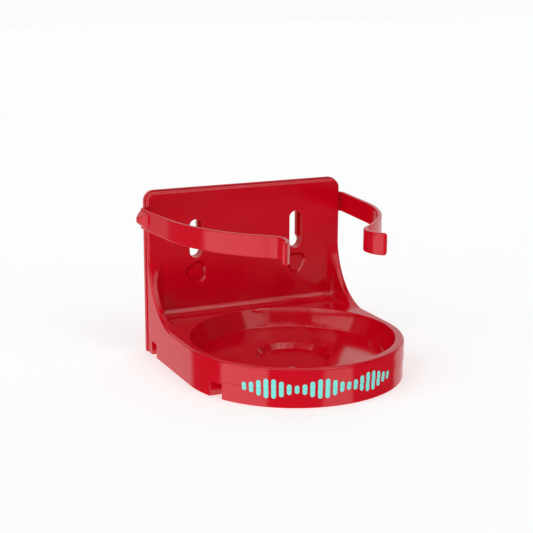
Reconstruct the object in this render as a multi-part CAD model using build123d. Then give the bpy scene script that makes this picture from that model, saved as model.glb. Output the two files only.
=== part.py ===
from build123d import *
from math import cos, radians, sin, sqrt, tan
import os

# Wall or bench bracket for the cylinder of an emergency air pack. Millimetres.
# The rear face of the back plate is the plane y = 0, the base stands on z = 0,
# the cylinder is put in from the front, along +Y, and stands on the seat.

# ---------------------------------------------------------------- driving sizes
# Overall
WIDTH = 110.0              # back plate
HEIGHT = 84.3              # back plate
CORNER_R = 5.5             # top corners of the back plate
BODY_INSET = 0.6           # the bracket body stands that much inside the back plate
DECK_Z = 18.8              # top of the base and of the seat's rim

# Plate layers
REAR_T = 2.4               # back plate
FRONT_T = 3.6              # front layer, part of the bracket body
EDGE_R = 1.4               # rounding of the front edges and of the gussets
SEAM_C = 0.35              # chamfer each side of the seam between the layers

# Seat
SEAT_Y = -62.2             # centre of the seat
SEAT_MOUTH_R = 50.3        # at the rim
SEAT_FLOOR_R = 46.0        # at the floor
SEAT_FLOOR_Z = 9.1
DISH_MOUTH_R = 18.4        # central dish, at the seat's floor
DISH_FLOOR_R = 16.6
DISH_FLOOR_Z = 6.4
RIM_R = 0.7                # rounding of the rim's inner edge
SEAT_FLOOR_FILLET = 1.0
SEAT_RING = 1.1            # of the flat rim, held with the seat

# Gussets
GUSSET_T = 3.6
GUSSET_REACH = 32.5        # forward of the plate's front face, along the deck
GUSSET_RISE = 34.7         # above the deck
GUSSET_MEET = 0.3          # the curve runs that far into plate and deck, so it meets them at an angle
GUSSET_EDGE_R = 1.2        # rounding of the inner edges
PLATE_CORNER_R = 4.5       # hollow between plate and gusset
DECK_CORNER_R = 4.5        # hollow between plate and deck, and gusset and deck

# Walls of the hollow base
WALL = 2.6

# Screw slots and keyholes
SLOT_X = 28.4
SLOT_Z = 58.1
SLOT_LENGTH = 20.0
SLOT_WIDTH = 6.8
SLOT_EDGE_R = 0.6
SLOT_WALL = 1.0            # left between each slot and the strip's pocket
KEY_NECK_WIDTH = 4.4
KEY_ROUND_R = 3.4          # head opening at the bottom of each keyhole

# Spring strip
STRIP_T = 2.0
STRIP_H = 10.5
STRIP_Z = 70.85            # middle of the strip's height
STRIP_POCKET_GAP = 0.25    # round the strip, in its pocket
STRIP_END_R = 1.4          # corners of the flared tips
ROOT_R = 1.8               # root bend, on the strip's middle line
ROOT_GAP = 0.9             # between the back plate's edge and the root's inner face
LEG_TILT = 4.5             # degrees the arm leans in, from the root
ARM_TILT = 52.0            # degrees the arm's front run leans in
TIP_TILT = 55.0            # degrees the curled tip ends up flared out
ARM_R = 75.0               # bend round the cylinder
ARM_CORNER_Y = -68.5       # where the leg's and the front run's lines would cross
WAIST_Y = -97.9            # where the front run's and the tip's lines would cross
WAIST_R = 10.6
TIP_LENGTH = 14.8
FLEX_Y = -16.0             # where each arm is taken to flex
FLEX_GAP = 0.3

# Pressed bead round each root bend
BEAD_H = 7.6               # on the strip
BEAD_CREST_H = 2.8
BEAD_PROUD = 3.2
BEAD_START = 0.4           # places along the leg, from the root's corner
BEAD_RISE = 2.4
BEAD_FALL = 5.8
BEAD_END = 9.8

# Fasteners
RIVET_X = 12.0
RIVET_R = 2.0
RIVET_HEAD_R = 3.0
RIVET_HEAD_T = 1.0
PLUG_Z = 40.4
PLUG_SIZE = 6.3            # middle of the three-lobed outline to its lobes
PLUG_LOBE_R = 3.8
PLUG_TURN = {"left": 60.0, "right": 30.0}    # degrees each plug happens to be turned
PLUG_RECESS = 1.5
PLUG_HEAD_T = 0.5
PLUG_GAP = 0.25
PLUG_DRAFT = 40.0
PLUG_STEM_R = 2.5
PLUG_FLARE_R = 3.4
PLUG_FLARE_T = 0.9

# Side notches and base cover
NOTCH_WIDTH = 6.7
NOTCH_HEIGHT = 7.3
NOTCH_DEPTH = 7.0
REAR_NOTCH_Y = -12.1
FRONT_NOTCH_Y = -83.2
NOTCH_WALL = 1.8
COVER_T = 2.0
COVER_GAP = 0.2
SKIRT_HEIGHT = 8.8
SKIRT_T = 2.4
SKIRT_STEP = 0.25          # the skirt stands that much inside the body's wall
SKIRT_SEAM = 0.2
SCREW_PLACES = [(-44.5, -24.0), (44.5, -24.0), (-24.0, -93.0), (24.0, -93.0)]
SCREW_R = 1.5
SCREW_HEAD_R = 2.9
SCREW_LENGTH = 6.0
SCREW_HEAD_T = 1.4
SCREW_DRIVE_R = 1.0
SCREW_DRIVE_DEPTH = 0.9
SCREW_TIP_GAP = 0.3
BOSS_R = 3.8

# ---------------------------------------------------------------- derived places
BASE_R = WIDTH / 2 - BODY_INSET
FACE_Y = -(REAR_T + FRONT_T)
STRIP_Y = -(REAR_T + STRIP_T / 2)
ARM_X = WIDTH / 2 + ROOT_GAP + STRIP_T / 2
POCKET_DEPTH = STRIP_T + STRIP_POCKET_GAP
BAND_END_X = BASE_R - 0.4  # where the strip's middle meets its root bends
GUSSET_CENTRE_Y = FACE_Y - GUSSET_REACH + GUSSET_MEET
GUSSET_TOP_Z = DECK_Z + GUSSET_RISE - GUSSET_MEET
SKIRT_END_Y = FRONT_NOTCH_Y - NOTCH_WIDTH / 2
PAST = 1.0                 # cutting tools reach this far past what they cut
SIDES = {"left": -1, "right": 1}


def box(x0, x1, y0, y1, z0, z1):
    """A block from its two corners."""
    middle = ((x0 + x1) / 2, (y0 + y1) / 2, (z0 + z1) / 2)
    return Pos(*middle) * Box(abs(x1 - x0), abs(y1 - y0), abs(z1 - z0))


def rod(x, y, z0, z1, radius, top_radius=None):
    """An upright cylinder or, with a second radius, a cone."""
    height = z1 - z0
    if top_radius is None:
        return Pos(x, y, z0 + height / 2) * Cylinder(radius, height)
    return Pos(x, y, z0 + height / 2) * Cone(radius, top_radius, height)


def pin_y(x, z, y0, y1, radius, end_radius=None):
    """A cylinder along Y from y0 to y1 or, with a second radius, a cone."""
    length = y1 - y0
    place = Pos(x, y0 + length / 2, z) * Rot(-90, 0, 0)
    if end_radius is None:
        return place * Cylinder(radius, length)
    return place * Cone(radius, end_radius, length)


def on_wall(y):
    """The plane of the plate at y, with local x along +X and local y along +Z."""
    return Plane(origin=(0, y, 0), x_dir=(1, 0, 0), z_dir=(0, -1, 0))


# ---------------------------------------------------------------- outlines
def base_outline(inset=0.0):
    """The D of the base: parallel sides and a half-round front, round the seat's centre."""
    radius = BASE_R - inset
    sides = Pos(0, SEAT_Y / 2) * Rectangle(2 * radius, -SEAT_Y)
    return sides + Pos(0, SEAT_Y) * Circle(radius)


def plate_outline(inset=0.0):
    """The upright plate, seen from the front, with its top corners rounded."""
    height = HEIGHT - inset
    sketch = Pos(0, height / 2) * Rectangle(WIDTH - 2 * inset, height)
    return fillet(sketch.vertices().group_by(Axis.Y)[-1], CORNER_R - inset)


def keyhole_outline():
    """Round opening for the screw's head, with the neck above it."""
    bottom = SLOT_Z - SLOT_LENGTH / 2 + KEY_ROUND_R
    top = SLOT_Z + SLOT_LENGTH / 2 - KEY_NECK_WIDTH / 2
    neck = Pos(0, (bottom + top) / 2) * SlotCenterToCenter(top - bottom, KEY_NECK_WIDTH, rotation=90)
    return Pos(0, bottom) * Circle(KEY_ROUND_R) + neck


def band_outline(length, grow=0.0):
    """The strip's middle, seen from the front, cut away round the two slots."""
    half_relief = SLOT_WIDTH / 2 + SLOT_WALL + STRIP_POCKET_GAP - grow
    relief_top = SLOT_Z + SLOT_LENGTH / 2 + SLOT_WALL + STRIP_POCKET_GAP - grow
    relief_h = SLOT_LENGTH
    outline = Pos(0, STRIP_Z) * Rectangle(length, STRIP_H + 2 * grow)
    for side in SIDES.values():
        outline -= Pos(side * SLOT_X, relief_top - relief_h / 2) * Rectangle(2 * half_relief, relief_h)
    return outline


def three_lobes(name, inset=0.0):
    """Rounded triangle: the outline of a plug's recess or, with an inset, of the plug's head."""
    lobe = Pos(PLUG_SIZE - PLUG_LOBE_R, 0) * Circle(PLUG_LOBE_R - inset)
    edges = [edge for turn in (0, 120, 240) for edge in (Rot(0, 0, turn) * lobe).edges()]
    return Pos(SIDES[name] * SLOT_X, PLUG_Z) * Rot(0, 0, PLUG_TURN[name]) * make_hull(edges)


# ---------------------------------------------------------------- fasteners, and the holes they fill
def rivet(x):
    """Flush rivet through the back plate and the strip, countersunk at both ends."""
    front = -(REAR_T + STRIP_T)
    shank = pin_y(x, STRIP_Z, front, 0, RIVET_R)
    rear_head = pin_y(x, STRIP_Z, -RIVET_HEAD_T, 0, RIVET_R, RIVET_HEAD_R)
    front_head = pin_y(x, STRIP_Z, front, front + RIVET_HEAD_T, RIVET_HEAD_R, RIVET_R)
    return shank + rear_head + front_head


def plug_stem(side):
    """Stem of a plug through both layers, flared flush with the wall face."""
    x = side * SLOT_X
    stem = pin_y(x, PLUG_Z, FACE_Y + PLUG_RECESS, 0, PLUG_STEM_R)
    return stem + pin_y(x, PLUG_Z, -PLUG_FLARE_T, 0, PLUG_STEM_R, PLUG_FLARE_R)


def plug_recess(name):
    """Three-lobed recess in the plate's front face, its wall drawn in towards the floor."""
    return extrude(on_wall(FACE_Y) * three_lobes(name), -PLUG_RECESS, taper=PLUG_DRAFT)


def plug(name):
    """Press plug: its three-lobed head lies on the recess's floor."""
    inset = PLUG_RECESS * tan(radians(PLUG_DRAFT)) + PLUG_GAP
    head = extrude(on_wall(FACE_Y + PLUG_RECESS) * three_lobes(name, inset), PLUG_HEAD_T)
    return head + plug_stem(SIDES[name])


def screw(x, y):
    """Countersunk self-tapping screw, driven up from below with a hexagon key."""
    head = rod(x, y, 0, SCREW_HEAD_T, SCREW_HEAD_R, SCREW_R)
    shank = rod(x, y, 0, SCREW_LENGTH, SCREW_R)
    drive = extrude(Pos(x, y) * RegularPolygon(SCREW_DRIVE_R, 6), SCREW_DRIVE_DEPTH)
    return head + shank - drive


def screw_hole(x, y):
    """The same screw's hole, with room past its tip."""
    head = rod(x, y, 0, SCREW_HEAD_T, SCREW_HEAD_R, SCREW_R)
    return head + rod(x, y, 0, SCREW_LENGTH + SCREW_TIP_GAP, SCREW_R)


# ---------------------------------------------------------------- bracket body
def outer_block():
    """Base, front layer and gussets as one full-width solid, its outer edges rounded."""
    base = extrude(base_outline(), DECK_Z)
    front_layer = extrude(on_wall(-REAR_T) * plate_outline(BODY_INSET), FRONT_T)
    side_view = Plane(origin=(-BASE_R, 0, 0), x_dir=(0, 1, 0), z_dir=(1, 0, 0))
    corner = Rectangle(GUSSET_REACH, GUSSET_RISE, align=(Align.MAX, Align.MIN))
    corner = Pos(FACE_Y, DECK_Z) * corner
    corner -= Pos(GUSSET_CENTRE_Y, GUSSET_TOP_Z) * Ellipse(GUSSET_REACH, GUSSET_RISE)
    block = base + front_layer + extrude(side_view * corner, 2 * BASE_R)
    block -= box(-WIDTH, WIDTH, -REAR_T, WIDTH, -PAST, HEIGHT + PAST)

    def is_outer(edge):
        """On the outline seen from the front, and not where one face runs into the next."""
        place = edge.center()
        across = edge.geom_type == GeomType.LINE and abs(place.X) < PAST
        across = across and place.Z < GUSSET_TOP_Z + PAST
        return place.Y < FACE_Y + 0.01 and place.Z > DECK_Z - 0.01 and not across

    return fillet(block.edges().filter_by(is_outer), EDGE_R)


def inner_pocket():
    """The space between the gussets, with its hollow corners rounded."""
    half = BASE_R - GUSSET_T
    pocket = box(-half, half, FACE_Y - 2 * GUSSET_REACH, FACE_Y, DECK_Z, 2 * HEIGHT)
    upright = pocket.edges().filter_by(Axis.Z).group_by(Axis.Y)[-1]
    pocket = fillet(upright, PLATE_CORNER_R)
    floor_edges = pocket.faces().sort_by(Axis.Z)[0].edges()
    front = floor_edges.sort_by(Axis.Y)[0]
    return fillet([e for e in floor_edges if e != front], DECK_CORNER_R)


def seat_cut():
    """Cupped seat with its central dish."""
    cup = rod(0, SEAT_Y, SEAT_FLOOR_Z, DECK_Z, SEAT_FLOOR_R, SEAT_MOUTH_R)
    cup = fillet(cup.edges().sort_by(Axis.Z)[0], SEAT_FLOOR_FILLET)
    dish = rod(0, SEAT_Y, DISH_FLOOR_Z, SEAT_FLOOR_Z, DISH_FLOOR_R, DISH_MOUTH_R)
    return cup + dish


def wall_x(y):
    """Half the base's width at y."""
    if y > SEAT_Y:
        return BASE_R
    return sqrt(BASE_R**2 - (y - SEAT_Y) ** 2)


def notch(side, y, grow=0.0, z0=0.0):
    """A side notch's space or, grown, the block that holds it."""
    outer = wall_x(y)
    inner = outer - NOTCH_DEPTH - grow
    half = NOTCH_WIDTH / 2 + grow
    return box(side * inner, side * (outer + 2 * PAST), y - half, y + half, z0, NOTCH_HEIGHT + grow)


def notches(grow=0.0, z0=0.0):
    """All four notches."""
    tools = [notch(side, y, grow, z0) for side in SIDES.values() for y in (REAR_NOTCH_Y, FRONT_NOTCH_Y)]
    return Part() + tools


def hollow():
    """The space under the deck and the seat, clear of the cup, the notches and the screw bosses."""
    space = extrude(base_outline(WALL), DECK_Z - WALL)
    space -= box(-WIDTH, WIDTH, FACE_Y, WIDTH, -PAST, HEIGHT)
    space -= rod(0, SEAT_Y, SEAT_FLOOR_Z - WALL, DECK_Z, SEAT_FLOOR_R + WALL, SEAT_MOUTH_R + WALL)
    space -= rod(0, SEAT_Y, DISH_FLOOR_Z - WALL, SEAT_FLOOR_Z, DISH_MOUTH_R + WALL)
    space -= notches(NOTCH_WALL, -PAST)
    for x, y in SCREW_PLACES:
        space -= rod(x, y, COVER_T, DECK_Z, BOSS_R)
    return space


def skirt_ring(outer, inner, height, end_y):
    """A band of the round front, forward of end_y."""
    band = Pos(0, SEAT_Y) * (Circle(outer) - Circle(inner))
    band -= Pos(0, end_y + WIDTH / 2) * Rectangle(2 * WIDTH, WIDTH)
    return extrude(band, height)


def moulding():
    """The whole front moulding, before its seat is parted from it."""
    body = outer_block() - inner_pocket()
    gusset_edges = body.edges().filter_by(GeomType.BSPLINE)
    gusset_edges = [e for e in gusset_edges if abs(e.center().X) < BASE_R - GUSSET_T + 0.1]
    body = fillet([e for e in gusset_edges if e.center().Z > DECK_Z + 0.1], GUSSET_EDGE_R)
    seam = [e for e in body.edges().group_by(Axis.Y)[-1] if e.center().Z > PAST]
    body = chamfer(seam, SEAM_C)

    body -= seat_cut()
    rim = [e for e in body.edges().filter_by(GeomType.CIRCLE) if abs(e.radius - SEAT_MOUTH_R) < 0.01]
    body = fillet(rim, RIM_R)

    for side in SIDES.values():
        slot = Pos(side * SLOT_X, SLOT_Z) * SlotOverall(SLOT_LENGTH, SLOT_WIDTH, rotation=90)
        body -= extrude(on_wall(-REAR_T) * slot, FRONT_T)

    def is_slot_mouth(edge):
        """On the plate's front face, round one of the two slots."""
        place = edge.center()
        in_slot = abs(place.Z - SLOT_Z) < SLOT_LENGTH / 2 + 0.1
        in_slot = in_slot and abs(abs(place.X) - SLOT_X) < SLOT_WIDTH / 2 + 0.1
        return in_slot and abs(place.Y - FACE_Y) < 0.01

    body = fillet(body.edges().filter_by(is_slot_mouth), SLOT_EDGE_R)

    body -= extrude(on_wall(-REAR_T) * band_outline(2 * WIDTH, STRIP_POCKET_GAP), POCKET_DEPTH)
    for name, side in SIDES.items():
        body -= plug_recess(name)
        body -= plug_stem(side)

    body -= hollow()
    body -= notches(0.0, -PAST)
    skirt_room = SKIRT_STEP + SKIRT_T + COVER_GAP
    body -= skirt_ring(BASE_R + PAST, BASE_R - skirt_room, SKIRT_HEIGHT, SKIRT_END_Y)
    for x, y in SCREW_PLACES:
        body -= screw_hole(x, y)
    return body


def seat_core():
    """All round the seat's axis, out to the flat of the rim: what is held as the seat."""
    return rod(0, SEAT_Y, -PAST, DECK_Z + PAST, SEAT_MOUTH_R + SEAT_RING)


# ---------------------------------------------------------------- other pieces of the bracket
def back_plate():
    """Rear layer: the wall face, with a keyhole behind each slot."""
    plate = extrude(on_wall(0) * plate_outline(), REAR_T)
    rims = [e for e in plate.edges() if e.center().Z > 0.01 and abs(e.center().Y + REAR_T / 2) > 0.1]
    plate = chamfer(rims, SEAM_C)
    for side in SIDES.values():
        plate -= extrude(on_wall(0) * Pos(side * SLOT_X, 0) * keyhole_outline(), REAR_T)
        plate -= plug_stem(side)
        plate -= rivet(side * RIVET_X)
    return plate


def clip_band():
    """Middle of the spring strip, riveted to the back plate."""
    band = extrude(on_wall(-REAR_T) * band_outline(2 * BAND_END_X), STRIP_T)
    for side in SIDES.values():
        band -= rivet(side * RIVET_X)
    return band


def base_cover():
    """Tray that closes the hollow base. Its skirt makes the lower part of the round front."""
    floor = extrude(base_outline(WALL + COVER_GAP), COVER_T)
    floor -= box(-WIDTH, WIDTH, FACE_Y - COVER_GAP, WIDTH, -PAST, HEIGHT)
    outer = BASE_R - SKIRT_STEP
    end_y = SKIRT_END_Y - COVER_GAP
    floor += skirt_ring(outer, outer - 2 * SKIRT_T, COVER_T, end_y)
    floor -= notches(NOTCH_WALL + COVER_GAP, -PAST)
    floor += skirt_ring(outer, outer - SKIRT_T, SKIRT_HEIGHT - SKIRT_SEAM, end_y)
    for x, y in SCREW_PLACES:
        floor -= screw_hole(x, y)
    return floor


# ---------------------------------------------------------------- spring strip outside the plate
def leg_point(y):
    """A point of the right leg's middle line, at y."""
    return Vector(ARM_X - (STRIP_Y - y) * tan(radians(LEG_TILT)), y)


def strip_along(path):
    """The strip's section carried along a level line."""
    line = Pos(0, 0, STRIP_Z) * path
    start = Plane(origin=line @ 0, x_dir=(0, 0, 1), z_dir=line % 0)
    return sweep(start * Rectangle(STRIP_H, STRIP_T), path=line)


def flex_joint(radius):
    """Upright cylinder at the place where the right arm flexes."""
    place = leg_point(FLEX_Y)
    half = STRIP_H / 2
    return rod(place.X, place.Y, STRIP_Z - half, STRIP_Z + half, radius)


def bead():
    """Pressed bead round the root's outer corner: a trapezoid in section, run out at its end."""
    root = leg_point(STRIP_Y)
    leg = Plane(origin=(root.X, root.Y, STRIP_Z), x_dir=leg_point(FLEX_Y) - root, z_dir=(0, 0, 1))
    face = STRIP_T / 2
    crest = face + BEAD_PROUD
    side_view = make_face(
        Polyline(
            (BEAD_START, 0),
            (BEAD_START, face),
            (BEAD_RISE, crest),
            (BEAD_FALL, crest),
            (BEAD_END, face),
            (BEAD_END, 0),
            close=True,
        )
    )
    end_view = make_face(
        Polyline(
            (0, -BEAD_H / 2),
            (face, -BEAD_H / 2),
            (crest, -BEAD_CREST_H / 2),
            (crest, BEAD_CREST_H / 2),
            (face, BEAD_H / 2),
            (0, BEAD_H / 2),
            close=True,
        )
    )
    across = Plane(origin=leg.origin, x_dir=leg.y_dir, z_dir=leg.x_dir)
    along = extrude(leg * side_view, BEAD_H, both=True)
    return along & extrude(across * end_view, BEAD_END)


def right_root():
    """Root bend of the strip, with its bead, as far as the place where the arm flexes."""
    corner = leg_point(STRIP_Y)
    path = FilletPolyline((BAND_END_X, STRIP_Y), corner, leg_point(FLEX_Y), radius=ROOT_R)
    root = strip_along(path) + bead()
    return root - flex_joint(STRIP_T / 2 + FLEX_GAP)


def arm_points():
    """Corners of the right arm's middle line, from the flex place to the tip."""
    bend = leg_point(ARM_CORNER_Y)
    run = (ARM_CORNER_Y - WAIST_Y) / cos(radians(ARM_TILT))
    waist = bend + Vector(-sin(radians(ARM_TILT)), -cos(radians(ARM_TILT))) * run
    tip = waist + Vector(sin(radians(TIP_TILT)), -cos(radians(TIP_TILT))) * TIP_LENGTH
    return [leg_point(FLEX_Y), bend, waist, tip]


def right_arm():
    """Curved arm with its flared tip. Its inner end is round, about the flex place."""
    points = arm_points()
    arm = strip_along(FilletPolyline(*points, radius=(ARM_R, WAIST_R)))
    across_tip = [e for e in arm.edges() if (e.center() - points[-1]).Y < 0.3]
    tip_corners = [e for e in across_tip if abs(e.length - STRIP_T) < 0.01]
    arm = fillet(tip_corners, STRIP_END_R)
    return arm + flex_joint(STRIP_T / 2)


# ---------------------------------------------------------------- assembly
def make_parts():
    """Every piece in place, by name."""
    front = moulding()
    root = right_root()
    arm = right_arm()
    parts = {
        "bracket_body": front - seat_core(),
        "seat_cup": front & seat_core(),
        "back_plate": back_plate(),
        "base_cover": base_cover(),
        "base_screws": Compound([screw(x, y) for x, y in SCREW_PLACES]),
        "clip_band": clip_band(),
        "band_rivets": Compound([rivet(side * RIVET_X) for side in SIDES.values()]),
        "right_arm_root": root,
        "right_arm": arm,
        "left_arm_root": mirror(root, Plane.YZ),
        "left_arm": mirror(arm, Plane.YZ),
    }
    for name in SIDES:
        parts[name + "_plug"] = plug(name)
    return parts


os.makedirs("parts", exist_ok=True)
for node, shape in make_parts().items():
    export_step(shape, f"parts/{node}.step")
flex = leg_point(FLEX_Y)
print(f"right arm flexes about x {flex.X:.3f}, y {flex.Y:.3f}")
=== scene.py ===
# %% [markdown]
# # Cylinder bracket of an emergency air pack
# The real thing is a red moulding in two layers with a cupped round seat, and a bent strip of coated
# spring steel that clips round the cylinder. The solid model comes in first and keeps its sizes. What
# follows dresses it.

# %% The solid model
import math

import bmesh
import bpy
from mathutils import Matrix, Vector


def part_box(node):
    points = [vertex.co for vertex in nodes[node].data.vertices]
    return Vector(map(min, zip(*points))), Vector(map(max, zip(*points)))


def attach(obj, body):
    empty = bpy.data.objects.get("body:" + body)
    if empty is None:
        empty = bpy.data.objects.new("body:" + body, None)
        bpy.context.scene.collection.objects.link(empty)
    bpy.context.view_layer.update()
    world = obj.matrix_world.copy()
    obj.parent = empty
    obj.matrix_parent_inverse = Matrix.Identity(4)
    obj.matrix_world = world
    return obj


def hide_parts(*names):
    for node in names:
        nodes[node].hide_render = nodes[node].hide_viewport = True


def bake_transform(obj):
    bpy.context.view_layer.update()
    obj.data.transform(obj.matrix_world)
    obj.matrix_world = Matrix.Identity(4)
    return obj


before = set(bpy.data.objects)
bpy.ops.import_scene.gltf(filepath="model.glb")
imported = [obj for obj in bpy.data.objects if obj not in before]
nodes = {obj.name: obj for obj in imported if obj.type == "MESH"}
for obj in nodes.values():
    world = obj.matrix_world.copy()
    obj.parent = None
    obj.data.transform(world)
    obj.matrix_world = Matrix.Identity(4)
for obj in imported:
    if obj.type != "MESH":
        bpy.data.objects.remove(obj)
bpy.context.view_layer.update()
print("CAD nodes:", sorted(nodes))


# %% [markdown]
# Lengths read best in millimetres and Blender wants metres, so one helper converts a length or a point.
# Colours are written as sRGB hex, which is how a paint chart gives them, and one function makes them
# linear.

# %% Two small helpers
MM = 0.001                               # metres in a millimetre


def mm(*values):
    """Millimetres to metres: a number, or a vector for more than one."""
    scaled = [value * MM for value in values]
    return scaled[0] if len(scaled) == 1 else Vector(scaled)


def colour(hex_code):
    """An sRGB hex code as linear red, green, blue and alpha."""
    channels = [int(hex_code[i : i + 2], 16) / 255 for i in (1, 3, 5)]
    linear = [c / 12.92 if c <= 0.04045 else ((c + 0.055) / 1.055) ** 2.4 for c in channels]
    return (*linear, 1.0)


# %% [markdown]
# The camera stands in front and to the left, a little above the bracket, with a long lens, so upright
# edges stay nearly parallel. A trace of roll is left in, as on a tripod set by hand.

# %% Camera
LENS_MM = 86.9
SENSOR_MM = 36.0
CAMERA_AT = Vector((-0.26494, -0.60807, 0.20096))
LOOK_AT = Vector((-0.00353, -0.0385, 0.04815))
ROLL_DEG = 0.18

camera = bpy.data.objects.new("camera", bpy.data.cameras.new("camera"))
bpy.context.scene.collection.objects.link(camera)
camera.data.lens = LENS_MM
camera.data.sensor_width = SENSOR_MM
towards = (LOOK_AT - CAMERA_AT).to_track_quat("-Z", "Y").to_matrix().to_4x4()
roll = Matrix.Rotation(math.radians(ROLL_DEG), 4, "Z")
camera.matrix_world = Matrix.Translation(CAMERA_AT) @ towards @ roll
bpy.context.scene.camera = camera
print(f"camera {(LOOK_AT - CAMERA_AT).length / MM:.0f} mm from the bracket")


# %% [markdown]
# Node trees are easier to follow when each line adds one node and says where its inputs come from. A
# socket goes in as a link, and anything else goes in as a value.

# %% One helper for every node tree
def add(tree, kind, inputs=(), **settings):
    """Adds a node with its settings, and sets or links its inputs by name or number."""
    made = tree.nodes.new(kind)
    for name, value in settings.items():
        setattr(made, name, value)
    for name, value in dict(inputs).items():
        if isinstance(value, bpy.types.NodeSocket):
            tree.links.new(value, made.inputs[name])
        else:
            made.inputs[name].default_value = value
    return made


# %% [markdown]
# The light is a dim studio with two tall soft boxes, one at the left and one at the right, a broad lamp
# high over the front, and a pale wall behind the bracket. On gloss red it is the shape of the boxes that
# tells the eye that the surface is smooth, so the boxes have clean edges. All of it is drawn on the
# world's sphere: a direction's bearing and height, both in degrees, say which lamp it looks into.

# %% Soft boxes on the world's sphere
BOX_LEFT = (-104.0, -51.0, 4.0, 1.45)    # from this bearing, to this one, lowest height, and how bright
BOX_RIGHT = (6.0, 38.0, 15.0, 1.15)
BOX_TOP = 62.0                           # each box is repeated below the horizon, for the gloss
WALL_LEFT = -153.0                       # the pale wall goes from here round the back to WALL_RIGHT
WALL_LEFT_EDGE = 12.0                    # its ends fade out over these widths
WALL_RIGHT = 104.0
WALL_RIGHT_EDGE = 6.0
WALL_LIGHT = 0.62
ROOM_LIGHT = 0.08
FILL_BEARINGS = (-60.0, 60.0)            # the broad lamp, too high for the upright faces to mirror
FILL_HEIGHTS = (36.0, 72.0)
FILL_LIGHT = 0.9
BACKDROP_LIGHT = 0.965                   # only what the camera sees behind everything
EDGE_DEG = 2.0
WHITE = (1, 1, 1, 1)

world = bpy.data.worlds.new("studio")
bpy.context.scene.world = world
world.use_nodes = True
sky = world.node_tree
sky.nodes.clear()


def sky_math(operation, *values):
    """One Math node of the sky, and its output."""
    return add(sky, "ShaderNodeMath", dict(enumerate(values)), operation=operation).outputs[0]


def step_up(value, threshold, width=EDGE_DEG):
    """0 below the threshold and 1 above it, over a narrow edge."""
    ramp = sky_math("SUBTRACT", value, threshold - width / 2)
    ramp = sky_math("DIVIDE", ramp, width)
    return sky_math("MINIMUM", sky_math("MAXIMUM", ramp, 0.0), 1.0)


def between(value, low, high):
    """1 between two thresholds."""
    rise = step_up(value, low)
    fall = sky_math("SUBTRACT", 1.0, step_up(value, high))
    return sky_math("MULTIPLY", rise, fall)


direction = add(sky, "ShaderNodeTexCoord").outputs["Generated"]
parts = add(sky, "ShaderNodeSeparateXYZ", {0: direction})
forward = sky_math("MULTIPLY", parts.outputs["Y"], -1.0)
bearing = sky_math("DEGREES", sky_math("ARCTAN2", parts.outputs["X"], forward))
height = sky_math("DEGREES", sky_math("ARCSINE", parts.outputs["Z"]))
above = sky_math("ABSOLUTE", height)
light = ROOM_LIGHT
for low, high, bottom, strength in (BOX_LEFT, BOX_RIGHT):
    soft_box = sky_math("MULTIPLY", between(bearing, low, high), between(above, bottom, BOX_TOP))
    light = sky_math("ADD", light, sky_math("MULTIPLY", soft_box, strength))
far_left = sky_math("SUBTRACT", 1.0, step_up(bearing, WALL_LEFT, WALL_LEFT_EDGE))
behind = sky_math("MAXIMUM", step_up(bearing, WALL_RIGHT, WALL_RIGHT_EDGE), far_left)
light = sky_math("ADD", light, sky_math("MULTIPLY", behind, WALL_LIGHT))
fill = sky_math("MULTIPLY", between(bearing, *FILL_BEARINGS), between(height, *FILL_HEIGHTS))
light = sky_math("ADD", light, sky_math("MULTIPLY", fill, FILL_LIGHT))
studio = add(sky, "ShaderNodeBackground", {"Color": WHITE, "Strength": light})
backdrop = add(sky, "ShaderNodeBackground", {"Color": WHITE, "Strength": BACKDROP_LIGHT})
seen = add(sky, "ShaderNodeLightPath").outputs["Is Camera Ray"]
mixed = add(sky, "ShaderNodeMixShader", {0: seen, 1: studio.outputs[0], 2: backdrop.outputs[0]})
add(sky, "ShaderNodeOutputWorld", {"Surface": mixed.outputs[0]})
bpy.context.scene.view_settings.view_transform = "Standard"
print("two soft boxes at bearings", BOX_LEFT[:2], BOX_RIGHT[:2], "and a lamp at", FILL_BEARINGS)


# %% [markdown]
# The floor is a sheet of frosted acrylic over lamps, as on a product table. Its glow lights the bracket
# from below, and is stronger than what the eye sees of it, because a picture clips such a sheet to white.
# So the glow has one strength for the light it gives and another for how it looks, which keeps the
# bracket's faint shadow. The floor doesn't show in the gloss: the real sheet ends near the object.

# %% Floor
FLOOR_SIZE_M = 6.0
FLOOR_DROP_MM = 0.2                      # below the base, so the two don't share a plane
GLOW_GIVEN = 1.05
GLOW_SEEN = (0.59, 0.53, 0.53, 1)
SHEET_WHITE = (0.58, 0.68, 0.68, 1)      # cool, to take up some of the red light from the bracket

floor_mesh = bpy.data.meshes.new("floor")
half = FLOOR_SIZE_M / 2
corners = [(-half, -half, 0), (half, -half, 0), (half, half, 0), (-half, half, 0)]
floor_mesh.from_pydata(corners, [], [(0, 1, 2, 3)])
floor = bpy.data.objects.new("floor", floor_mesh)
bpy.context.scene.collection.objects.link(floor)
floor.location.z = -mm(FLOOR_DROP_MM)
floor.visible_glossy = False
sheet = bpy.data.materials.new("frosted acrylic table")
sheet.use_nodes = True
tree = sheet.node_tree
tree.nodes.clear()
matt = add(tree, "ShaderNodeBsdfDiffuse", {"Color": SHEET_WHITE})
seen_glow = add(tree, "ShaderNodeEmission", {"Color": GLOW_SEEN})
seen_sheet = add(tree, "ShaderNodeAddShader", {0: matt.outputs[0], 1: seen_glow.outputs[0]})
given = add(tree, "ShaderNodeEmission", {"Strength": GLOW_GIVEN})
to_eye = add(tree, "ShaderNodeLightPath").outputs["Is Camera Ray"]
table = add(tree, "ShaderNodeMixShader", {0: to_eye, 1: given.outputs[0], 2: seen_sheet.outputs[0]})
add(tree, "ShaderNodeOutputMaterial", {"Surface": table.outputs[0]})
floor_mesh.materials.append(sheet)
print("floor", FLOOR_SIZE_M, "m square")


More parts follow.
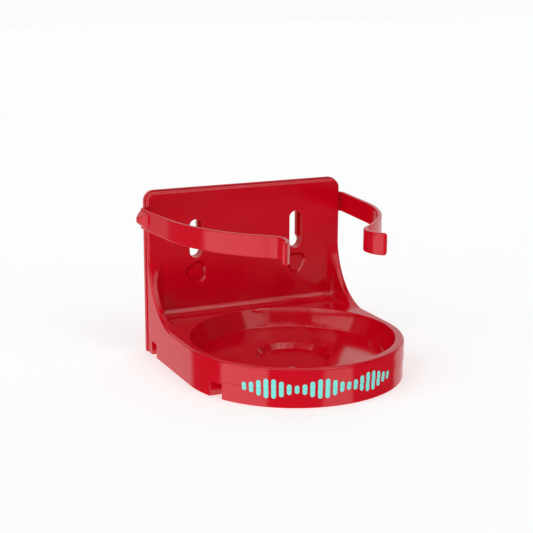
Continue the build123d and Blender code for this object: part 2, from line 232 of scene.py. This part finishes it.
# %% [markdown]
# The body is moulded in glass-filled nylon and comes out of a polished tool: a clean, deep red with a
# gloss that is sharp but not wet, and a faint ripple where the plastic shrank as it cooled. The strip
# wears a thicker coat with a little orange peel, the fasteners are zinc plated, and the print is a thin
# matt ink. Each is one shader: what is the same all over sits on its own socket, and only roughness and
# relief wander.

# %% Finishes
WANDER_MM = 14.0                         # size of the patches over which roughness and ripple change
WANDER_SHARE = 0.15                      # how much the roughness changes, of itself
NOISE_RANGE = (0.3, 0.7)                 # where nearly all of a noise texture's values lie
PEEL_DEPTH_MM = 0.02
RIPPLE_DEPTH_MM = 0.3


def finish(name, hex_code, roughness, peel_mm, peel, ripple=0.0, ior=1.5, metallic=0.0):
    """A colour, a roughness that wanders slightly, and a fine relief of that size in millimetres."""
    made = bpy.data.materials.new(name)
    made.use_nodes = True
    tree = made.node_tree
    tree.nodes.clear()
    place = add(tree, "ShaderNodeTexCoord").outputs["Object"]
    grain = add(tree, "ShaderNodeTexNoise", {"Vector": place, "Scale": 1 / mm(peel_mm), "Detail": 2.0})
    wander = add(tree, "ShaderNodeTexNoise", {"Vector": place, "Scale": 1 / mm(WANDER_MM), "Detail": 1.0})
    measured = {"Value": wander.outputs["Fac"], "From Min": NOISE_RANGE[0], "From Max": NOISE_RANGE[1]}
    wanted = {"To Min": roughness * (1 - WANDER_SHARE), "To Max": roughness * (1 + WANDER_SHARE)}
    rough = add(tree, "ShaderNodeMapRange", {**measured, **wanted})
    depth = {"Strength": peel, "Distance": mm(PEEL_DEPTH_MM)}
    fine = add(tree, "ShaderNodeBump", {"Height": grain.outputs["Fac"], **depth})
    depth = {"Strength": ripple, "Distance": mm(RIPPLE_DEPTH_MM)}
    relief = {"Height": wander.outputs["Fac"], "Normal": fine.outputs[0]}
    broad = add(tree, "ShaderNodeBump", {**relief, **depth})
    look = {"Base Color": colour(hex_code), "IOR": ior, "Metallic": metallic}
    surface = {"Roughness": rough.outputs[0], "Normal": broad.outputs[0]}
    coat = add(tree, "ShaderNodeBsdfPrincipled", {**look, **surface})
    add(tree, "ShaderNodeOutputMaterial", {"Surface": coat.outputs[0]})
    return made


RED = "#DA001E"                          # a signal red, the same in the plastic and in the coat
nylon = finish("moulded red nylon", RED, 0.12, 0.5, 0.04, ripple=0.03)
enamel = finish("red epoxy coat on spring steel", RED, 0.16, 1.2, 0.08)
zinc = finish("zinc plated steel", "#B9B8B4", 0.32, 0.3, 0.3, metallic=1.0)
ink = finish("turquoise pad print", "#86F6EC", 0.4, 0.2, 0.2)
print("finishes:", nylon.name, enamel.name, zinc.name, ink.name)


# %% [markdown]
# A solid model arrives as loose triangles, flat one by one, which shows on a round wall as facets. Each
# solid gets a copy with its doubles merged. Edges sharper than a limit stay crisp and the rest turn
# smooth, and normals are weighted by area, so a flat face next to a small rounding stays flat to the eye.
# The front moulding is one piece in the hand, and its solid comes in two, the seat and what holds it.
# Those two are joined first by a Boolean, which needs them to overlap a little rather than just touch.

# %% Smooth copies of the solids
SHARP_DEG = 32.0
DOUBLES_MM = 0.002
AREA_WEIGHT = 80                         # of 100, how much larger faces decide a normal
SEAT_CORE_MM = 51.4                      # radius of the seat's solid, where it meets the rest
SEAM_FOUND_MM = 0.06                     # points that near to that radius are on the meeting wall
SEAM_LAP_MM = 0.12                       # how far that wall is pushed out


def place(name, mesh):
    """An object for that mesh, in the scene."""
    made = bpy.data.objects.new(name, mesh)
    bpy.context.scene.collection.objects.link(made)
    return made


def merged(*names):
    """Copies of those solids in one mesh, with their doubles merged."""
    work = bmesh.new()
    for name in names:
        work.from_mesh(nodes[name].data)
    bmesh.ops.remove_doubles(work, verts=work.verts, dist=mm(DOUBLES_MM))
    bmesh.ops.dissolve_degenerate(work, edges=work.edges, dist=mm(DOUBLES_MM) / 2)
    mesh = bpy.data.meshes.new("-".join(names))
    work.to_mesh(mesh)
    work.free()
    return mesh


def evaluated(shaped, name):
    """The plain mesh that an object's modifiers give. The object itself is deleted."""
    graph = bpy.context.evaluated_depsgraph_get()
    mesh = bpy.data.meshes.new_from_object(shaped.evaluated_get(graph))
    mesh.name = name
    bpy.data.objects.remove(shaped)
    return mesh


def smooth(mesh):
    """A mesh whose sharp edges stay crisp while the rest turns smooth."""
    work = bmesh.new()
    work.from_mesh(mesh)
    limit = math.radians(SHARP_DEG)
    for face in work.faces:
        face.smooth = True
    for edge in work.edges:
        edge.smooth = len(edge.link_faces) == 2 and edge.calc_face_angle(0.0) < limit
    work.to_mesh(mesh)
    work.free()
    shaped = place("shaped", mesh)
    weights = shaped.modifiers.new("weights", "WEIGHTED_NORMAL")
    weights.keep_sharp = True
    weights.weight = AREA_WEIGHT
    return evaluated(shaped, mesh.name)


def moulding_mesh():
    """The front moulding in one skin: the seat's outer wall laps into what holds it."""
    seat = merged("seat_cup")
    for vertex in seat.vertices:
        out = Vector((vertex.co.x - seat_centre.x, vertex.co.y - seat_centre.y, 0))
        if abs(out.length - mm(SEAT_CORE_MM)) < mm(SEAM_FOUND_MM):
            vertex.co += out.normalized() * mm(SEAM_LAP_MM)
    shaped = place("front", merged("bracket_body"))
    cup = place("cup", seat)
    join = shaped.modifiers.new("join", "BOOLEAN")
    join.operation = "UNION"
    join.solver = "EXACT"
    join.object = cup
    mesh = evaluated(shaped, "front_moulding")
    bpy.data.objects.remove(cup)
    return mesh


# %% [markdown]
# ## The front moulding
# Plate, gussets, deck, seat and skirt are one piece. The seat's middle is found from the box of its
# solid.

# %% Front moulding
seat_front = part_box("seat_cup")[0][1]
seat_centre = Vector((0, seat_front + mm(SEAT_CORE_MM), 0))


def dressed(name, mesh, material, slot, *stands_for):
    """A finished piece on the bracket, in place of those solids."""
    mesh.materials.clear()
    mesh.materials.append(material)
    made = place(name, mesh)
    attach(made, "bracket")
    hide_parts(*stands_for)
    print(name, len(mesh.polygons), "faces, in place of", ", ".join(stands_for))


dressed("front_moulding", smooth(moulding_mesh()), nylon, "moulding", "bracket_body", "seat_cup")


# %% [markdown]
# ## Plate, cover, plugs and fasteners
# The rear plate closes the strip's pocket. Two push-in plugs with three-lobed heads hold it to the front,
# two rivets hold the strip, and four screws hold the cover under the base.

# %% The other solids
OTHERS = {
    "back_plate": (nylon, "back_plate"),
    "base_cover": (nylon, "cover"),
    "left_plug": (nylon, "plugs"),
    "right_plug": (nylon, "plugs"),
    "clip_band": (enamel, "strip"),
    "band_rivets": (zinc, "rivets"),
    "base_screws": (zinc, "screws"),
}
for name, (material, slot) in OTHERS.items():
    dressed(name + "_skin", smooth(merged(name)), material, slot, name)


# %% [markdown]
# ## The spring strip
# One flat bar of spring steel, bent six times on a press and coated, so it has no joint anywhere, though
# the solid model parts it where it flexes. Its shape is a rule, one section carried along one path, so
# Geometry Nodes make it: the path's corners are rounded by their own bend radius, a rounded section is
# swept along it, and then points are moved to round the tip and to raise the bead that stiffens the first
# bend.

# %% Strip sizes, right side, in millimetres
STRIP = {
    "Height": 10.5,
    "Thickness": 2.0,
    "Section edge": 0.55,
    "Tip corner": 1.4,
    "Tip edge": 0.5,
    "Step": 0.25,
    "Bead height": 7.9,                  # of the bead's foot on the strip
    "Bead crest": 2.6,                   # and of its flat top
    "Bead proud": 3.1,
}
BEAD_PLACES = {                          # along the leg, from the root's corner
    "Bead start": 0.2,
    "Bead rise": 2.6,
    "Bead fall": 5.4,
    "Bead end": 9.8,
}
STRIP_Z = 70.85                          # middle of the strip's height
STRIP_START = (54.1, -3.4)
ROOT_CORNER = (56.9, -3.4)
FRONT_Y = -68.5                          # where the leg's line and the front run's line would cross
WAIST_Y = -97.9                          # where the front run's line and the tip's line would cross
TIP_LENGTH = 14.8
ROOT_BEND = 1.8                          # radius on the strip's middle line
FRONT_BEND = 75.0
WAIST_BEND = 10.6
LEG_TILT_DEG = 4.5                       # how far the leg leans in
FRONT_TILT_DEG = 52.0                    # how far the front run leans in
TIP_TILT_DEG = 55.0                      # how far the curled tip flares out
SECTION_POINTS = 88
SECTION_EDGE_STEPS = 6
BEND_STEPS = 40


def leaning(corner, y, tilt_deg):
    """Where a line that leans in by the tilt from that corner reaches y."""
    return (corner[0] + (y - corner[1]) * math.tan(math.radians(tilt_deg)), y)


front = leaning(ROOT_CORNER, FRONT_Y, LEG_TILT_DEG)
waist = leaning(front, WAIST_Y, FRONT_TILT_DEG)
flare = math.radians(TIP_TILT_DEG)
tip = (waist[0] + TIP_LENGTH * math.sin(flare), waist[1] - TIP_LENGTH * math.cos(flare))
STRIP_PATH = [                           # x, y and the bend radius there
    (*STRIP_START, 0.0),
    (*ROOT_CORNER, ROOT_BEND),
    (*front, FRONT_BEND),
    (*waist, WAIST_BEND),
    (*tip, 0.0),
]
print("strip's corners:", [(round(x, 3), round(y, 3)) for x, y, bend in STRIP_PATH])


# %% [markdown]
# A small class keeps the geometry trees short. It makes the group with its named inputs, adds the maths,
# ends the tree, and runs it on an object. An input is a whole number where the sizes hold one.

# %% Helper for geometry trees
class Shape:
    """A geometry tree with named inputs, and short ways to add to it."""

    def __init__(self, name, sizes):
        self.tree = bpy.data.node_groups.new(name, "GeometryNodeTree")
        face = self.tree.interface
        face.new_socket("Geometry", in_out="INPUT", socket_type="NodeSocketGeometry")
        face.new_socket("Geometry", in_out="OUTPUT", socket_type="NodeSocketGeometry")
        for size in sizes:
            kind = "NodeSocketInt" if isinstance(sizes[size], int) else "NodeSocketFloat"
            face.new_socket(size, in_out="INPUT", socket_type=kind)
        face.new_socket("Material", in_out="INPUT", socket_type="NodeSocketMaterial")
        self.given = self.add("NodeGroupInput").outputs
        self.sizes = sizes

    def add(self, kind, inputs=(), **settings):
        return add(self.tree, kind, inputs, **settings)

    def math(self, operation, *values, clamp=False):
        inputs = dict(enumerate(values))
        return self.add("ShaderNodeMath", inputs, operation=operation, use_clamp=clamp).outputs[0]

    def vector(self, operation, *values):
        made = self.add("ShaderNodeVectorMath", operation=operation)
        for socket, value in zip(made.inputs, values):
            if isinstance(value, bpy.types.NodeSocket):
                self.tree.links.new(value, socket)
            else:
                socket.default_value = value
        return made.outputs["Value"] if operation in ("DOT_PRODUCT", "LENGTH") else made.outputs["Vector"]

    def scaled(self, vector, factor):
        made = self.add("ShaderNodeVectorMath", {0: vector, "Scale": factor}, operation="SCALE")
        return made.outputs["Vector"]

    def store(self, geometry, name, value, kind="FLOAT", domain="POINT"):
        settings = {"data_type": kind, "domain": domain}
        inputs = {"Geometry": geometry, "Name": name, "Value": value}
        return self.add("GeometryNodeStoreNamedAttribute", inputs, **settings).outputs[0]

    def stored(self, name, kind="FLOAT"):
        return self.add("GeometryNodeInputNamedAttribute", {"Name": name}, data_type=kind).outputs[0]

    def end(self, geometry):
        real = self.add("GeometryNodeRealizeInstances", {0: geometry}).outputs[0]
        smooth_faces = self.add("GeometryNodeSetShadeSmooth", {0: real}).outputs[0]
        inputs = {"Geometry": smooth_faces, "Material": self.given["Material"]}
        coloured = self.add("GeometryNodeSetMaterial", inputs).outputs[0]
        self.add("NodeGroupOutput", {0: coloured})

    def make(self, source, material, name):
        """Runs the tree on that object and gives the plain mesh."""
        live = source.modifiers.new("shape", "NODES")
        live.node_group = self.tree
        values = {**self.sizes, "Material": material}
        for item in self.tree.interface.items_tree:
            if item.in_out == "INPUT" and item.name in values:
                live[item.identifier] = values[item.name]
        return evaluated(source, name)


# %% [markdown]
# Across the strip, u runs outwards from its middle line and v upwards. At the tip both shrink along a
# quarter circle, which rounds it. The bead is a roof over the leg: a slope at each end and at each side,
# whichever is lowest.

# %% The strip's tree
UP = (0, 0, 1)


def quarter(shape, reach, half, radius):
    """How much of the half size is left, that far from an end rounded by the radius."""
    inside = shape.math("SUBTRACT", radius, shape.math("MINIMUM", reach, radius))
    squares = shape.math("SUBTRACT", shape.math("POWER", radius, 2.0), shape.math("POWER", inside, 2.0))
    drop = shape.math("SUBTRACT", shape.math("SQRT", squares), radius)
    return shape.math("DIVIDE", shape.math("ADD", half, drop), half)


def slope(shape, value, low, high):
    """0 at low, 1 at high, and straight between."""
    span = shape.math("SUBTRACT", high, low)
    return shape.math("DIVIDE", shape.math("SUBTRACT", value, low), span, clamp=True)


def strip_shape(sizes):
    """The strip as a geometry tree, for a path whose points hold their bend radius."""
    shape = Shape("bent strip", sizes)
    given = shape.given
    path = shape.add("GeometryNodeMeshToCurve", {0: given["Geometry"]}).outputs[0]
    bends = {"Curve": path, "Radius": shape.stored("bend"), "Count": BEND_STEPS}
    path = shape.add("GeometryNodeFilletCurve", bends, mode="POLY").outputs[0]
    steps = {"Curve": path, "Length": given["Step"]}
    path = shape.add("GeometryNodeResampleCurve", steps, mode="LENGTH").outputs[0]
    path = shape.add("GeometryNodeSetCurveNormal", {"Curve": path}, mode="Z_UP").outputs[0]
    along = shape.add("GeometryNodeSplineParameter").outputs["Length"]
    whole = shape.add("GeometryNodeSplineLength").outputs["Length"]
    tangent = shape.add("GeometryNodeInputTangent").outputs[0]
    outwards = shape.vector("NORMALIZE", shape.vector("CROSS_PRODUCT", UP, tangent))
    middle = shape.add("GeometryNodeInputPosition").outputs[0]
    path = shape.store(path, "along", along)
    path = shape.store(path, "to_tip", shape.math("SUBTRACT", whole, along))
    path = shape.store(path, "outwards", outwards, "FLOAT_VECTOR")
    path = shape.store(path, "middle", middle, "FLOAT_VECTOR")

    size = {"Width": given["Thickness"], "Height": given["Height"]}
    section = shape.add("GeometryNodeCurvePrimitiveQuadrilateral", size).outputs[0]
    edge = {"Curve": section, "Radius": given["Section edge"], "Count": SECTION_EDGE_STEPS}
    section = shape.add("GeometryNodeFilletCurve", edge, mode="POLY").outputs[0]
    count = {"Curve": section, "Count": SECTION_POINTS}
    section = shape.add("GeometryNodeResampleCurve", count, mode="COUNT").outputs[0]
    sweep = {"Curve": path, "Profile Curve": section, "Fill Caps": True}
    swept = shape.add("GeometryNodeCurveToMesh", sweep).outputs[0]

    out = shape.stored("outwards", "FLOAT_VECTOR")
    core = shape.stored("middle", "FLOAT_VECTOR")
    here = shape.add("GeometryNodeInputPosition").outputs[0]
    from_core = shape.vector("SUBTRACT", here, core)
    u = shape.vector("DOT_PRODUCT", from_core, out)
    v = shape.vector("DOT_PRODUCT", from_core, UP)
    to_tip = shape.stored("to_tip")
    half_u = shape.math("DIVIDE", given["Thickness"], 2.0)
    half_v = shape.math("DIVIDE", given["Height"], 2.0)
    thin = quarter(shape, to_tip, half_u, given["Tip edge"])
    short = quarter(shape, to_tip, half_v, given["Tip corner"])

    reach = shape.stored("along")
    up_side = slope(shape, reach, given["Bead start"], given["Bead rise"])
    down_side = slope(shape, reach, given["Bead end"], given["Bead fall"])
    level = shape.math("ABSOLUTE", v)
    base = shape.math("DIVIDE", given["Bead height"], 2.0)
    crest = shape.math("DIVIDE", given["Bead crest"], 2.0)
    roof = slope(shape, level, base, crest)
    bead = shape.math("MINIMUM", shape.math("MINIMUM", up_side, down_side), roof)
    outer = shape.math("GREATER_THAN", u, shape.math("MULTIPLY", half_u, 0.5))
    bead = shape.math("MULTIPLY", shape.math("MULTIPLY", bead, outer), given["Bead proud"])

    u_new = shape.math("ADD", shape.math("MULTIPLY", u, thin), bead)
    v_new = shape.math("MULTIPLY", v, short)
    sideways = shape.scaled(out, u_new)
    upright = shape.add("ShaderNodeCombineXYZ", {2: v_new}).outputs[0]
    spot = shape.vector("ADD", shape.vector("ADD", sideways, upright), core)
    moved = shape.add("GeometryNodeSetPosition", {"Geometry": swept, "Position": spot})
    shape.end(moved.outputs[0])
    return shape


# %% [markdown]
# The tree makes the right strip. The left one is its mirror image, with its faces turned right side out
# again. The real strip flexes over a few millimetres beside the plate, where the solid model has its hinge,
# and each strip here stands in for both of those solids. The bead's places are measured from the root's
# corner, so the length of path up to that corner is added to them: the straight piece before it, less
# what the rounded bend saves.

# %% Both strips
path_mesh = bpy.data.meshes.new("path")
path_mesh.from_pydata(
    [mm(x, y, STRIP_Z) for x, y, bend in STRIP_PATH],
    [(i, i + 1) for i in range(len(STRIP_PATH) - 1)],
    [],
)
bends = path_mesh.attributes.new("bend", "FLOAT", "POINT")
for i, (x, y, bend) in enumerate(STRIP_PATH):
    bends.data[i].value = mm(bend)

root_turn = math.radians(90 - LEG_TILT_DEG)
bend_saves = ROOT_BEND * (2 * math.tan(root_turn / 2) - root_turn)
corner_at = ROOT_CORNER[0] - STRIP_START[0] - bend_saves
sizes = {name: mm(size) for name, size in STRIP.items()}
sizes.update({name: mm(size + corner_at) for name, size in BEAD_PLACES.items()})
right_strip = strip_shape(sizes).make(place("path", path_mesh), enamel, "right_strip")
front_y = min(vertex.co.y for vertex in right_strip.vertices)
side_x = max(vertex.co.x for vertex in right_strip.vertices)
print("strip", len(right_strip.polygons), "faces, forward to y", front_y, "and out to x", side_x)


def bent(mesh, side):
    """The strip on one side of the bracket, in place of its arm and the arm's root."""
    arm = side + "_arm"
    strip = place(side + "_strip", mesh)
    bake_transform(strip)
    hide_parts(arm + "_root", arm)


work = bmesh.new()
work.from_mesh(right_strip)
bmesh.ops.scale(work, vec=(-1, 1, 1), verts=work.verts)
bmesh.ops.reverse_faces(work, faces=work.faces)
left_strip = right_strip.copy()
work.to_mesh(left_strip)
work.free()
bent(right_strip, "right")
bent(left_strip, "left")


# %% [markdown]
# ## The print
# The front wall carries a band of pad print in turquoise. Here it is a plain pattern of upright bars that
# swell and fall. Bars that repeat along a round wall are a job for Geometry Nodes: one flat bar, an
# instance for each place, and a rule that gives each its height and bends it to the wall. Every bar is a
# closed slab, half of it sunk in the wall, with more rows near its ends, which are round.

# %% Print sizes
PRINT = {
    "Wall radius": mm(54.4),
    "Skirt top": mm(8.8),
    "Skirt step": mm(0.25),
    "Middle height": mm(8.9),
    "Width": mm(2.2),
    "Shortest": mm(4.0),
    "Tallest": mm(9.6),
    "Ink": mm(0.03),                     # half of the slab's thickness
    "First bearing": math.radians(-50.0),
    "Last bearing": math.radians(29.0),
    "Swells": 3.0,
    "Bars": 22,
}
BAR_ROWS = 41
BAR_COLUMNS = 9
END_SHARE = 0.04                         # of a bar's half width, left at its ends, so they stay closed
SLAB_DEPTH = 0.1                         # of the bar before it is given its place and size
SLAB_WELD = 0.0001


# %% [markdown]
# The bar starts as a grid from -1 to 1 each way, so "across" and "up" are shares of its half width and
# half height. The grid is extruded upwards, and joined to a flipped copy of itself that closes it below.
# "skin" is 0 on the lower face and 1 on the upper one. Once the bars are real geometry, every point's
# place is worked out from those three.

# %% The print's tree
def print_shape(sizes):
    """Bars of print on a round wall."""
    shape = Shape("print on a round wall", sizes)
    given = shape.given
    spots = shape.add("GeometryNodePoints", {"Count": given["Bars"]}).outputs[0]
    index = shape.add("GeometryNodeInputIndex").outputs[0]
    share = shape.math("DIVIDE", index, shape.math("SUBTRACT", given["Bars"], 1.0))
    arc = shape.math("SUBTRACT", given["Last bearing"], given["First bearing"])
    angle = shape.math("ADD", given["First bearing"], shape.math("MULTIPLY", arc, share))
    turn = shape.math("MULTIPLY", shape.math("MULTIPLY", share, given["Swells"]), math.tau)
    swell = shape.math("MULTIPLY", shape.math("SUBTRACT", 1.0, shape.math("COSINE", turn)), 0.5)
    range_up = shape.math("SUBTRACT", given["Tallest"], given["Shortest"])
    tall_bar = shape.math("ADD", given["Shortest"], shape.math("MULTIPLY", range_up, swell))
    spots = shape.store(spots, "bearing", angle)
    spots = shape.store(spots, "tall", tall_bar)

    grid = {"Size X": 2.0, "Size Y": 2.0, "Vertices X": BAR_COLUMNS, "Vertices Y": BAR_ROWS}
    bar = shape.add("GeometryNodeMeshGrid", grid).outputs["Mesh"]
    corner = shape.add("ShaderNodeSeparateXYZ", {0: shape.add("GeometryNodeInputPosition").outputs[0]})
    bar = shape.store(bar, "across", corner.outputs["X"])
    bar = shape.store(bar, "up", corner.outputs["Y"])
    raised = {"Mesh": bar, "Offset Scale": SLAB_DEPTH, "Individual": False}
    upper = shape.add("GeometryNodeExtrudeMesh", raised).outputs["Mesh"]
    lower = shape.add("GeometryNodeFlipFaces", {0: bar}).outputs[0]
    joined = shape.add("GeometryNodeJoinGeometry")
    for part in (upper, lower):
        shape.tree.links.new(part, joined.inputs[0])
    weld = {"Geometry": joined.outputs[0], "Distance": SLAB_WELD}
    closed = shape.add("GeometryNodeMergeByDistance", weld).outputs[0]
    is_upper = shape.math("GREATER_THAN", corner.outputs["Z"], SLAB_DEPTH / 2)
    closed = shape.store(closed, "skin", is_upper)
    placed = {"Points": spots, "Instance": closed}
    bars = shape.add("GeometryNodeInstanceOnPoints", placed).outputs[0]
    bars = shape.add("GeometryNodeRealizeInstances", {0: bars}).outputs[0]

    half = shape.math("DIVIDE", shape.stored("tall"), 2.0)
    rise = shape.math("SINE", shape.math("MULTIPLY", shape.stored("up"), math.pi / 2))
    z = shape.math("MULTIPLY", half, rise)
    to_end = shape.math("SUBTRACT", half, shape.math("ABSOLUTE", z))
    radius = shape.math("DIVIDE", given["Width"], 2.0)
    room = quarter(shape, to_end, radius, radius)
    wide = shape.math("MULTIPLY", shape.math("MAXIMUM", room, END_SHARE), radius)
    sideways = shape.math("MULTIPLY", shape.stored("across"), wide)
    z = shape.math("ADD", z, given["Middle height"])
    step = shape.math("MULTIPLY", shape.math("LESS_THAN", z, given["Skirt top"]), given["Skirt step"])
    side = shape.math("MULTIPLY", shape.math("SUBTRACT", shape.stored("skin"), 0.5), 2.0)
    wall = shape.math("SUBTRACT", given["Wall radius"], step)
    out = shape.math("ADD", wall, shape.math("MULTIPLY", side, given["Ink"]))
    angle = shape.math("ADD", shape.stored("bearing"), shape.math("DIVIDE", sideways, given["Wall radius"]))
    x = shape.math("MULTIPLY", shape.math("SINE", angle), out)
    y = shape.math("MULTIPLY", shape.math("COSINE", angle), shape.math("MULTIPLY", out, -1.0))
    spot = shape.add("ShaderNodeCombineXYZ", {0: x, 1: y, 2: z}).outputs[0]
    moved = shape.add("GeometryNodeSetPosition", {"Geometry": bars, "Position": spot})
    shape.end(moved.outputs[0])
    return shape


# %% Print on the wall
bars_mesh = print_shape(PRINT).make(place("seed", bpy.data.meshes.new("seed")), ink, "print_bars")
bars_mesh.transform(Matrix.Translation(seat_centre))
print_bars = place("print_bars", bars_mesh)
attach(print_bars, "bracket")
print("print", len(bars_mesh.polygons), "faces")
